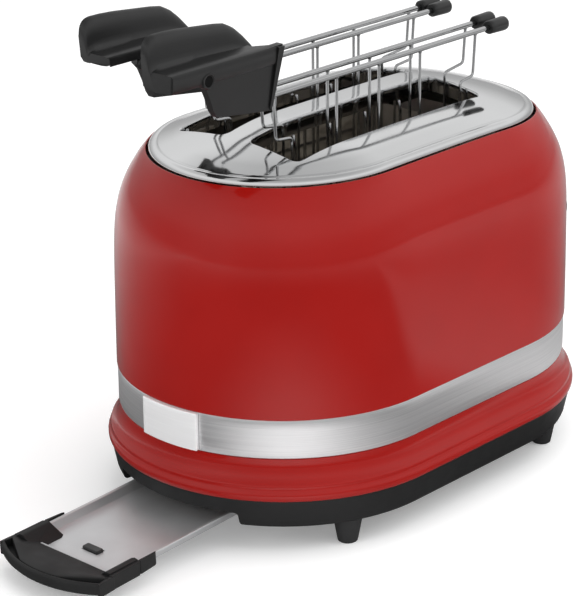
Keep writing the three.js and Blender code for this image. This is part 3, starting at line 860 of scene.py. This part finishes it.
# The crescent handle: the middle and radius of its arc, half its width, and its straight back edge.
HANDLE_MIDDLE, HANDLE_R, HANDLE_HALF, HANDLE_BACK = -33.0, 66.0, 36.5, -79.0
HANDLE_UNDER = -6.5
LIP_SECTION = [(6, -6.5), (3.2, -6.5), (1.3, -6.0), (0.3, -4.8), (0.0, -2.6), (0.15, -0.9), (0.6, 0.2),
               (1.2, 0.65), (1.8, 0.6), (2.3, 0.1), (2.5, -1.0), (2.6, -3.6), (6, -3.6)]
SCOOP_HALF, SCOOP_R, SCOOP_BACK = 34.4, 63.8, -73.3
SCOOP_FLAT = 13.5  # past this half width the scoop's front edge falls back from the lip
EAR_OUTER, EAR_CREST = 33.4, 31.0


def arc_points(radius, half_y, steps):
    """Points of the crescent's arc from +y to -y, in the tray's own frame."""
    half = math.asin(half_y / radius)
    turns = [half * (1 - 2 * k / steps) for k in range(steps + 1)]
    return [(HANDLE_MIDDLE - radius * math.cos(a), radius * math.sin(a)) for a in turns]


def build_tray_handle():
    bm = bmesh.new()
    rings = []
    for x, y in arc_points(HANDLE_R, HANDLE_HALF, 44):
        dx, dy = (HANDLE_MIDDLE - x) / HANDLE_R, -y / HANDLE_R
        rings.append([in_tray(x + d * dx, y + d * dy, z) for d, z in LIP_SECTION])
    loft(bm, rings)
    well = arc_points(HANDLE_R - 2.4, HANDLE_HALF - 1.4, 30)
    prism(bm, well + [(HANDLE_BACK, -35.0), (HANDLE_BACK, 35.0)], -6.4, -3.5, in_tray)
    build_scoop(bm)
    cheek = [(-88.6, 36.4), (-88.6, 34.9), (-82.0, 34.0), (HANDLE_BACK + 1, 33.3), (HANDLE_BACK + 1, 35.9)]
    wing = [(HANDLE_BACK, 33.2), (-47.0, 33.2), (-48.5, 34.0), (-59.0, 35.0), (-59.6, 34.5), (-60.4, 35.4),
            (HANDLE_BACK, 35.7)]
    for side in (-1, 1):
        prism(bm, [(u, side * v) for u, v in cheek], HANDLE_UNDER, 0.6, in_tray)
        prism(bm, [(u, side * v) for u, v in wing], HANDLE_UNDER, 0.9, in_tray)
        build_ear(bm, side)
    piece("tray_grip", bm, BASE_BLACK, "crumb_tray", ["tray_handle"], smooth=32, bevel=0.35)


def build_scoop(bm):
    """The handle's top face: it falls back into the tray, and stops short of the lip's two ends."""
    steps, crest, under = 40, 0.9, -6.3
    rings = []
    for k in range(steps + 1):
        y = SCOOP_HALF * (1 - 2 * k / steps)
        front = HANDLE_MIDDLE - math.sqrt(SCOOP_R ** 2 - min(abs(y), SCOOP_FLAT) ** 2)
        front += max(0.0, abs(y) - SCOOP_FLAT) * 0.642
        ring = [(front, y, 0.35), (front + 0.25, y, 0.75), (front + 0.8, y, crest)]
        for t in (0.25, 0.5, 0.75, 1.0):
            x = front + 0.8 + (SCOOP_BACK - front - 0.8) * t
            ring.append((x, y, crest - 3.4 * t * (0.55 + 0.45 * t)))
        ring += [(SCOOP_BACK, y, under), (front, y, under)]
        rings.append([in_tray(*p) for p in ring])
    loft(bm, rings)


def build_ear(bm, side):
    """A block inside each front corner of the tray, with a sloping inner face and a chamfered end."""
    section = [(EAR_OUTER, -4.9), (EAR_OUTER, 1.5), (EAR_CREST, 1.7), (29.6, 1.3), (21.8, -4.5), (21.8, -4.9)]
    rings = []
    for x, cut in ((-78.5, 0.0), (-60.0, 0.0), (-57.5, 1.6)):
        ring = []
        for y, z in section:
            inner = y + cut if y < EAR_CREST else y
            ring.append(in_tray(x - 2.0 if z > 0 and cut else x, side * inner, z))
        rings.append(ring)
    loft(bm, rings)


# ---- sandwich tongs ----
HALF_GAP = 6.0  # from a tong's middle plane to each cage
WIRE, RAIL = 0.8, 1.5  # radii of the cage's wires and rails
CAGE_FOOT, RIB_TOP = 119.0, RAIL_Z - 0.9
RIBS = (-33, 0, 33)
HANGER = 79.4  # the cage's last wire hangs from the rail here
# Each half of a tong stands a little along X and Y of its middle: (along X, along Y) in mm.
CAGE_SHIFT = {("near", -1): (0.0, 0.0), ("near", 1): (6.5, 0.0),
              ("far", -1): (0.5, 0.0), ("far", 1): (7.5, -2.5)}
CAP_SHIFT = {("near", -1): 1.0, ("near", 1): 4.5, ("far", -1): 5.7, ("far", 1): 7.3}


def cage_plane(word, side):
    """Middle X and plane Y of one cage."""
    dx, dy = CAGE_SHIFT[word, side]
    return TONG_X[word] + dx, TONG_Y[word] + side * HALF_GAP + dy


def build_cage(word, side, half, body):
    ox, y = cage_plane(word, side)
    shift = CAGE_SHIFT[word, side][0]
    left, step, inner = (-80.0, 207.0, 205.8) if side < 0 else (-83.0, 210.6, 208.6)
    right = min(67.0, SLOT_X[1] - 1.2 - ox)     # clear of the slot's end
    ends = (-86 - shift, 91 + CAP_SHIFT[word, side] - shift)
    line = [(left, RAIL_Z - 1), (left + 1.6, step), (-66.8, inner), (-65.8, CAGE_FOOT),
            (right - 0.4, CAGE_FOOT), (right, inner), (HANGER - 1.6, step), (HANGER, RAIL_Z - 1)]
    weld = [(0, -2.1), (0.9, -2.0), (1.15, -1.5), (1.25, -0.6), (1.2, 0)]
    bm = bmesh.new()
    tube(bm, [(ox + x, y, RAIL_Z) for x in (ends[0], -40, 0, 40, ends[1])], RAIL, 16)
    tube(bm, fillet([(ox + x, y, z) for x, z in line], 2.4, 6), WIRE, 12)
    for x in RIBS:
        tube(bm, [(ox + x, y, z) for z in (CAGE_FOOT, 170, RIB_TOP)], WIRE, 12)
    for x in (left, *RIBS, HANGER):
        turned(bm, weld, (ox + x, y, RAIL_Z), (0, 0, 1), 12)
    piece(f"{word}_wires_{half}", bm, CHROME, body, [f"tong_{word}_cage_{half}"], smooth=60)


def build_cap(word, side, half, body):
    ox, y = TONG_X[word] + CAP_SHIFT[word, side], cage_plane(word, side)[1]
    profile = [(1.6, 89.6), (2.6, 89.2), (3.3, 89.3), (3.65, 89.9), (3.7, 92), (3.95, 101.9), (3.75, 103.1),
               (3.2, 103.7), (2.0, 104.0), (0, 104.0)]
    bm = drawn(turned, profile, (ox, y, RAIL_Z), (1, 0, 0), 32)
    piece(f"{word}_tip_{half}", bm, BLACK, body, [f"tong_{word}_cap_{half}"], smooth=50)


# Side view of the grip's crest, and the height that the sections below are drawn for.
CREST = [(-172, 267.5), (-171.6, 271.0), (-170.6, 273.4), (-168.6, 275.2), (-165.5, 276.0), (-158, 276.0),
         (-149, 275.5), (-136, 274.2), (-124, 273.0), (-117, 271.9), (-111.5, 269.2), (-106.5, 265.2),
         (-102, 260.6), (-99, 256.8), (-96.5, 253.6)]
CREST_TOP, RIDGE_LOW = 275.4, 252.4


FRONT_SECTION = [(0.3, 275.4), (1.6, 275.1), (2.8, 274.1), (3.8, 272.4), (4.6, 270.0), (5.1, 267.4),
                 (5.5, 265.0), (6.0, 262.8), (6.8, 261.2), (8.2, 260.5), (10.5, 260.4), (14.4, 260.4),
                 (17.4, 260.3), (18.5, 259.8), (19.0, 258.8), (18.9, 255.0), (18.6, 251.8), (17.8, 250.8),
                 (15.0, 250.6), (8.0, 250.6), (0.3, 252.4)]
REAR_SECTION = [(1.4, 273.2), (2.2, 273.0), (3.3, 272.4), (4.6, 271.0), (5.6, 268.4), (6.2, 265), (6.5, 261),
                (6.5, 257), (6.1, 254.2), (5.0, 252.6), (3.0, 252.4), (0.45, 252.4)]
RIDGE_ENDS = {"front": (-172.0, -96.5), "rear": (-165.5, -96.5)}
RIDGE_STEPS = 56
SHELF_FROM, SHELF_TO, SHELF_END = 7, 14.5, -108.0  # the flat shelf beside the bar ends before the panel does
CORNER_FROM = 16.5  # past this depth the shelf's free corner is round
FLANGE_LIFT = 4.6  # the far grip's flange is thinner, to stay clear of the near one

# The plates that reach down from a grip, as (x, z), with the leans of the two outer faces as (z, depth).
FRONT_PANEL = [(-142.6, 256.0), (-142.4, 252.4), (-138.4, 248.6), (-134.6, 241.8), (-131.6, 235.4),
               (-129.2, 232.2), (-91.2, 227.0), (-89.9, 236.0), (-88.6, 247.0), (-87.0, 256.0),
               (-86.2, 260.3), (-96, 260.0)]
FRONT_EDGE = [(-90.6, 259.6), (-92.6, 229.0), (-91.2, 227.0), (-86.6, 259.6)]
REAR_PANEL = [(-108, 253), (-107, 238), (-105.5, 230), (-87, 226), (-86, 241), (-85.6, 256), (-108, 256)]
PANEL_LEAN = ((227.0, 14.6), (259.0, 18.4))
EDGE_LEAN = ((227.0, 15.4), (259.0, 20.2))
REAR_DEPTHS = (5.0, 8.6)
BOSS_DEPTHS = {"front": (3.2, 11.4), "rear": (3.2, 5.8)}  # the block that holds the rail's end
LUGS = {"front": (-124, -104), "rear": (-114.5,)}  # the eyes that turn on the hinge pin
PIN_Z = 246.5
EYE_X, EYE_DEPTH, EYE_Z = -138.2, -19.1, 252.6  # the ring on the front half's panel


def ridge(bm, ox, oy, side, section, ends, thin):
    """The grip's bar: one section drawn along X, its top following the crest."""
    rings = []
    for i in range(RIDGE_STEPS + 1):
        t = i / RIDGE_STEPS
        t = t * t * (3 - 2 * t) * 0.6 + t * 0.4
        ring = []
        for y, z in section:
            start = ends[0] + max(0.0, 262 - z) * 0.10 + max(0.0, y - CORNER_FROM) ** 2 * 0.32
            end = SHELF_END if SHELF_FROM < y < SHELF_TO else ends[1]
            x = start * (1 - t) + end * t
            if y < SHELF_FROM and z > RIDGE_LOW:
                z = RIDGE_LOW + (z - RIDGE_LOW) * (value_at(CREST, x) - RIDGE_LOW) / (CREST_TOP - RIDGE_LOW)
            elif z < 255 and thin:
                z += FLANGE_LIFT
            ring.append((x + ox + 8, oy + side * y, z))
        rings.append(ring)
    loft(bm, rings)


def leaning_panel(bm, ox, oy, side, outline, lean, thick):
    """A plate whose outer face leans from one depth at its foot to another at its head."""
    (z0, d0), (z1, d1) = lean

    def face(back):
        return [(ox + x, oy + side * (d0 + (d1 - d0) * (z - z0) / (z1 - z0) - back), z) for x, z in outline]

    loft(bm, [face(thick), face(0.0)])


def slab(bm, ox, oy, side, outline, depths):
    """A flat plate between two depths from the tong's middle plane."""
    prism(bm, moved(outline, ox, 0), *sorted(oy + side * d for d in depths), along_y)


def build_grip(word, side, half, body):
    ox, oy = TONG_X[word], TONG_Y[word]
    front = half == "front"
    section = FRONT_SECTION if front else REAR_SECTION
    eye_at = (ox + EYE_X, oy + EYE_DEPTH, EYE_Z)
    bm = bmesh.new()
    ridge(bm, ox, oy, side, section, RIDGE_ENDS[half], front and word == "far")
    if front:
        leaning_panel(bm, ox, oy, side, FRONT_PANEL, PANEL_LEAN, 4.0)
        leaning_panel(bm, ox, oy, side, FRONT_EDGE, EDGE_LEAN, 3.0)
    else:
        slab(bm, ox, oy, side, REAR_PANEL, REAR_DEPTHS)
    slab(bm, ox, oy, side, rounded(-96, -90.5, 227.8, 234.8, 2.2, 4), BOSS_DEPTHS[half])
    lug = [(2.35, 0), (4.2, 0), (4.4, 0.3), (4.4, 8.7), (4.2, 9), (2.35, 9), (2.35, 0)]
    for x in LUGS[half]:
        turned(bm, lug, (ox + x, oy, PIN_Z), (1, 0, 0), 28)
        web = sorted(oy + side * d for d in (0.9, 4.0))
        block(bm, ox + x + 0.2, ox + x + 8.8, *web, 249.6, 253.2)
    if front:
        ring = [(2.5, 0.5), (2.9, -0.2), (3.5, -0.4), (3.9, 0.1), (4.0, 3.5), (2.4, 3.5)]
        turned(bm, ring, eye_at, (0, 1, 0), 28)
    piece(f"{word}_grip_{half}", bm, BLACK, body, [f"tong_{word}_grip_{half}"], 38, 0.45)
    if front:
        # A near-black disc fills the eye ring: painted shade in place of the hole's depth.
        disc = drawn(turned, [(0, 0.1), (2.6, 0.0), (2.6, 3.5), (0, 3.5)], eye_at, (0, 1, 0), 24)
        piece(f"{word}_eye", disc, HOLE_SHADE_BLACK, body, smooth=40)


for build in (build_shell, build_liner, build_skirt, build_band, build_name_plate, build_panel,
              build_top_plate, build_gasket, build_base, build_feet, build_inlet, build_heaters,
              build_guards, build_racks, build_lever, build_knob, build_buttons, build_tray,
              build_tray_handle):
    build()
for tong in ("near", "far"):
    for sign, part, holder in ((-1, "front", f"tong_{tong}"), (1, "rear", f"tong_{tong}_jaw")):
        build_cage(tong, sign, part, holder)
        build_cap(tong, sign, part, holder)
        build_grip(tong, sign, part, holder)

# CAD nodes that stay as packed take a finish that shows their make.
KEPT = {
    CHAMBER: ["chassis_left", "chassis_right", "reflector_near", "reflector_far"],
    MICA: ["heater_near_outer", "heater_near_inner", "heater_far_inner", "heater_far_outer"],
    STEEL: ["guide_rod", "carriage", "lever_arm", "lift_spring", "control_frame", "tray_rail_near",
            "tray_rail_far", "tong_near_hinge_pin", "tong_far_hinge_pin"],
    BLACK: ["browning_control"],
    BOARD: ["control_board"],
    COPPER: ["electromagnet"],
}
for finish, names in KEPT.items():
    for node_name in names:
        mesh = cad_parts[node_name].data
        for index in range(len(mesh.materials)):
            mesh.materials[index] = finish


# ---- camera ----
def make_camera():
    """The camera of the photograph: found by fitting the oval outlines, the feet and the slots."""
    yaw, pitch, roll = 0.826, 0.364, -0.010
    forward = Vector((math.sin(yaw) * math.cos(pitch), math.cos(yaw) * math.cos(pitch), -math.sin(pitch)))
    right = Vector((math.cos(yaw), -math.sin(yaw), 0))
    up = right.cross(forward)
    right, up = (right * math.cos(roll) + up * math.sin(roll), up * math.cos(roll) - right * math.sin(roll))
    turn = Matrix((right, up, -forward)).transposed()
    data = bpy.data.cameras.new("camera")
    data.sensor_width = 36.0
    data.lens = 148.76
    data.shift_x, data.shift_y = -0.00084, -0.00117
    data.clip_start, data.clip_end = 0.05, 30
    cam = bpy.data.objects.new("camera", data)
    cam.matrix_world = Matrix.Translation(at(-941.7, -826.2, 569.0)) @ turn.to_4x4()
    bpy.context.scene.camera = show(cam)


make_camera()


# ---- light ----
# Colours of the studio from straight down (0) through level (0.5) to straight up (1).
SKY = ((0.47, (0.38, 0.38, 0.385)), (0.56, 0.46), (0.67, 0.75), (0.78, 0.80), (0.87, 0.58), (0.97, 0.42))
# Painted reflection: greys that shiny parts see in place of the floor, by distance from a painted bright spot
# in front of the case, then by X and by Y, in metres. The lightest of the three is used.
PAINTED_REFLECTION_SPOT = at(-215, -165, 0)
PAINTED_REFLECTION_GREYS = ((0.03, 0.98), (0.07, 0.82), (0.12, 0.48), (0.17, 0.24), (0.23, 0.08), (0.40, 0.06),
              (0.90, 0.45))
PAINTED_REFLECTION_STRIPS = (("X", ((0.04, 0.0), (0.13, 0.04), (0.18, 0.52), (0.34, 0.22))),
          ("Y", ((0.12, 0.0), (0.34, 0.32), (0.60, 0.85))))
FLOOR_GREY = 0.92
# Glow of the floor itself, and the dimmer glow of its painted reflection.
GLOW, PAINTED_REFLECTION_GLOW = 0.20, 0.03


def make_world():
    """White to the camera; to everything else a dim studio, brightest about 35 degrees up."""
    world = bpy.data.worlds.new("studio")
    bpy.context.scene.world = world
    world.use_nodes = True
    tree = world.node_tree
    tree.nodes.clear()
    out = shader_node(tree, "OutputWorld")
    seen = shader_node(tree, "Background", Color=(1, 1, 1, 1))
    lit = shader_node(tree, "Background")
    coords = shader_node(tree, "TexCoord")
    axes = shader_node(tree, "SeparateXYZ")
    height = shader_node(tree, "MapRange", From_Min=-1.0)
    path = shader_node(tree, "LightPath")
    mix = shader_node(tree, "MixShader")
    tree.links.new(coords.outputs["Generated"], axes.inputs[0])
    tree.links.new(axes.outputs["Z"], height.inputs["Value"])
    tree.links.new(color_ramp(tree, height.outputs["Result"], SKY), lit.inputs["Color"])
    tree.links.new(path.outputs["Is Camera Ray"], mix.inputs[0])
    tree.links.new(lit.outputs[0], mix.inputs[1])
    tree.links.new(seen.outputs[0], mix.inputs[2])
    tree.links.new(mix.outputs[0], out.inputs["Surface"])


make_world()


def area(name, where, target, size, power):
    """A soft box that lights but doesn't show in shiny parts."""
    data = bpy.data.lights.new(name, "AREA")
    data.shape = "RECTANGLE"
    data.size, data.size_y = size
    data.energy = power
    lamp = bpy.data.objects.new(name, data)
    lamp.location = where
    lamp.rotation_euler = (Vector(target) - Vector(where)).to_track_quat("-Z", "Y").to_euler()
    lamp.visible_glossy = False
    show(lamp)


area("left_box", (-1.5, 0.2, 0.55), (0, 0, 0.12), (1.0, 1.4), 8)
area("right_box", (0.9, -1.4, 0.55), (0, 0, 0.12), (1.0, 1.4), 7)
area("front_box", (-1.1, -1.2, 1.2), (0, 0, 0.1), (1.2, 1.2), 2)
area("top_box", (0.5, -0.45, 1.5), (0, 0, 0.1), (2.2, 2.2), 22)
bpy.context.scene.view_settings.view_transform = "Standard"


# ---- floor ----
def floor_material():
    """A pale matt floor. Shiny parts see a painted reflection in its place: a white table with a painted
    bright spot and dim edges in a dark studio.
    """
    grey = (FLOOR_GREY, FLOOR_GREY, FLOOR_GREY)
    look = Look("floor", grey, 0.9).set(Specular_IOR_Level=0.0, Emission_Color=(1, 1, 1, 1))
    tree, links = look.tree, look.links
    distance = shader_node(tree, "VectorMath", operation="DISTANCE")
    distance.inputs[1].default_value = PAINTED_REFLECTION_SPOT
    links.new(look.coords.outputs["Object"], distance.inputs[0])
    place = shader_node(tree, "SeparateXYZ")
    links.new(look.coords.outputs["Object"], place.inputs[0])
    # Painted reflection: shiny parts see these greys, not the floor's own grey.
    painted_reflection = color_ramp(tree, distance.outputs["Value"], PAINTED_REFLECTION_GREYS)
    for axis, stops in PAINTED_REFLECTION_STRIPS:
        lighter = shader_node(tree, "Mix", data_type="RGBA", blend_type="LIGHTEN", Factor=1.0)
        links.new(painted_reflection, lighter.inputs["A"])
        links.new(color_ramp(tree, place.outputs[axis], stops), lighter.inputs["B"])
        painted_reflection = lighter.outputs["Result"]
    glossy = shader_node(tree, "LightPath").outputs["Is Glossy Ray"]
    mix = shader_node(tree, "Mix", data_type="RGBA", A=(*grey, 1))
    links.new(glossy, mix.inputs["Factor"])
    links.new(painted_reflection, mix.inputs["B"])
    links.new(mix.outputs["Result"], look.bsdf.inputs["Base Color"])
    links.new(look.ranged(glossy, GLOW, PAINTED_REFLECTION_GLOW, 0.0, 1.0), look.bsdf.inputs["Emission Strength"])
    return look.mat


FLOOR_HALF = 4
floor_mesh = bpy.data.meshes.new("floor")
corners = [(sx * FLOOR_HALF, sy * FLOOR_HALF, 0) for sx, sy in ((-1, -1), (1, -1), (1, 1), (-1, 1))]
floor_mesh.from_pydata(corners, [], [(0, 1, 2, 3)])
floor = show(bpy.data.objects.new("floor", floor_mesh))
floor_mesh.materials.append(floor_material())
